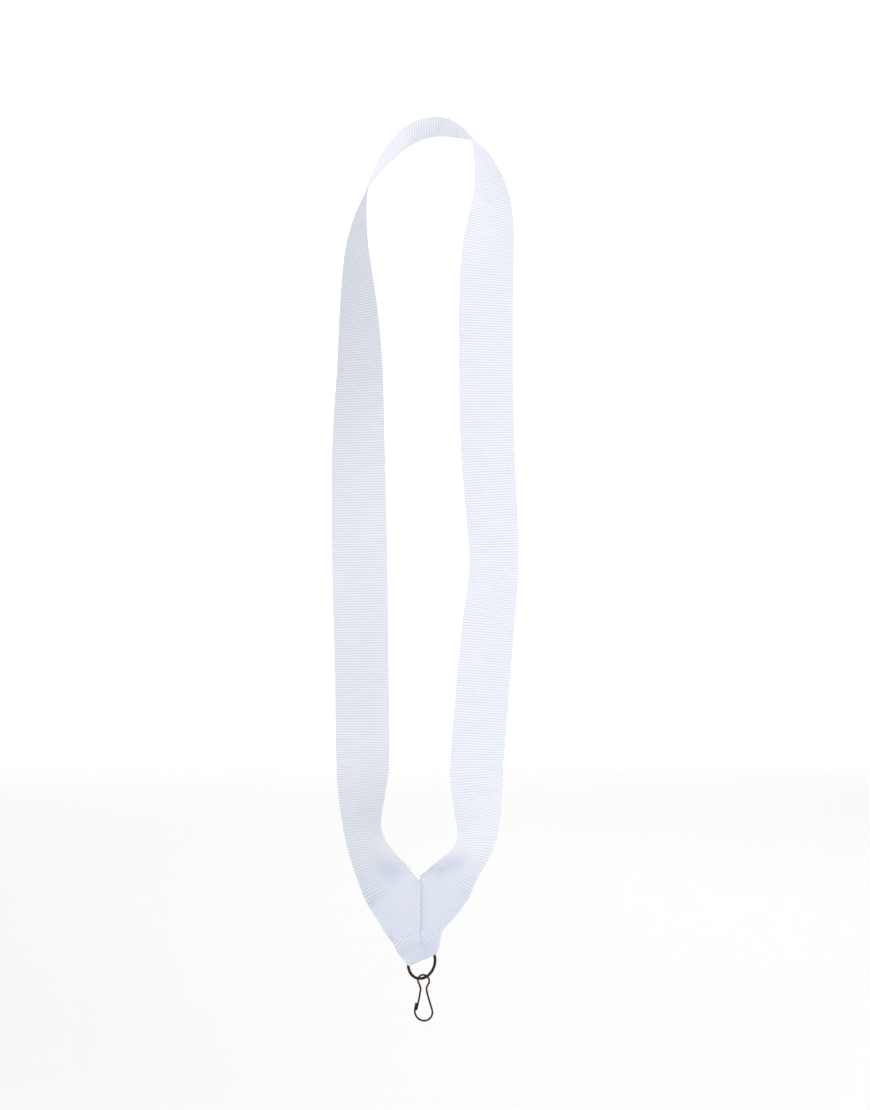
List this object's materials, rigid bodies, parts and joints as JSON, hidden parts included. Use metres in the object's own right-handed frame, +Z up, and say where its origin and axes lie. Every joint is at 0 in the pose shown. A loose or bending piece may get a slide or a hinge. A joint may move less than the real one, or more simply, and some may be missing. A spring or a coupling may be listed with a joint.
{
  "type": "medal neck ribbon with snap hook",
  "caption": "Hanging grosgrain neck ribbon sewn into a mitred V, its tip folded round a wire ring that carries a bent wire snap hook.",
  "frame": {"origin": "underside of the band at the top of the loop, where it rests on a neck or a peg, straight above the mitre seam", "axes": "+Z up as it hangs, +X to the right seen from the front, -Y out of the front faces of the straps"},
  "size_m": [0.0833, 0.0259, 0.3984],
  "materials": {
    "ribbon": "white ribbed grosgrain, matt with a slight sheen",
    "thread": "white polyester sewing thread",
    "bronze": "dark antique bronze plated wire, polished highlights"
  },
  "bodies": {
    "ribbon": {"ribbon_left_lower_strap": "ribbon", "ribbon_left_middle_strap": "ribbon", "ribbon_left_upper_strap": "ribbon", "ribbon_left_neck_arc": "ribbon", "ribbon_right_neck_arc": "ribbon", "ribbon_right_upper_strap": "ribbon", "ribbon_right_middle_strap": "ribbon", "ribbon_right_lower_strap": "ribbon", "ribbon_left_mitre": "ribbon", "ribbon_right_mitre": "ribbon", "mitre_seam_thread": "thread"},
    "tab": {"ribbon_folded_tab": "ribbon", "tab_stitch_thread": "thread"},
    "ring": {"wire_ring": "bronze"},
    "hook": {"hook_frame": "bronze"},
    "gate": {"hook_gate": "bronze"}
  },
  "joints": [
    {"name": "tab_flex", "type": "hinge", "parent": "ribbon", "child": "tab", "pos_m": [-0.00226, 0.0001, -0.35575], "axis": [0.9752, 0.1371, 0.1737], "range_deg": [-60, 60]},
    {"name": "ring_turn", "type": "hinge", "parent": "tab", "child": "ring", "pos_m": [0.0005, 0.0019, -0.3689], "axis": [0.5592, -0.829, 0], "range_deg": [-70, 80]},
    {"name": "hook_swing", "type": "hinge", "parent": "ring", "child": "hook", "pos_m": [0.00133, 0.00246, -0.37598], "axis": [0.821, 0.5538, 0.1392], "range_deg": [-85, 85]},
    {"name": "gate_flex", "type": "hinge", "parent": "hook", "child": "gate", "pos_m": [0.00002, 0.00281, -0.3811], "axis": [-0.2588, -0.9659, 0], "range_deg": [0, 22], "stiffness_Nm_per_rad": 0.07}
  ]
}
